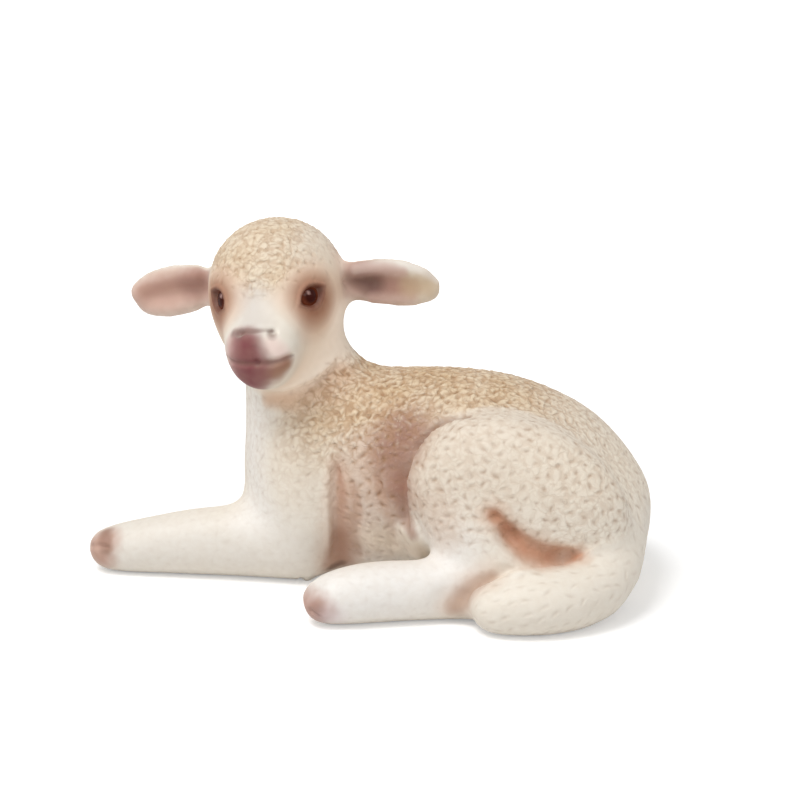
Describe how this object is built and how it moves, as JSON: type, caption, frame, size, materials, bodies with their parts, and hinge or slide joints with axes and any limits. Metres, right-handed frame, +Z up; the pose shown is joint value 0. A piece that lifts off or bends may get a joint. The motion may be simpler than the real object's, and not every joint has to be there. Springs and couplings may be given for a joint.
{
  "type": "lying lamb figure",
  "caption": "Small solid vinyl figure of a lying lamb, head turned to its left, one foreleg stretched forward, tail wrapped round the rump; stands on its flat belly.",
  "frame": {"origin": "on the ground, under the middle of the figure's bounding box", "axes": "+X along the body towards the rump, -Y towards the lamb's left side, where its face looks, +Z up"},
  "size_m": [0.0576, 0.0328, 0.0364],
  "materials": {
    "fleece": "matt paint on vinyl",
    "ear": "matt paint on vinyl",
    "leg": "matt paint on vinyl"
  },
  "bodies": {
    "root": {"trunk": "fleece", "head": "fleece", "tail": "fleece", "left_ear": "ear", "right_ear": "ear", "left_foreleg": "leg", "right_foreleg": "leg", "left_hind_leg": "leg", "right_hind_leg": "leg"}
  },
  "joints": []
}
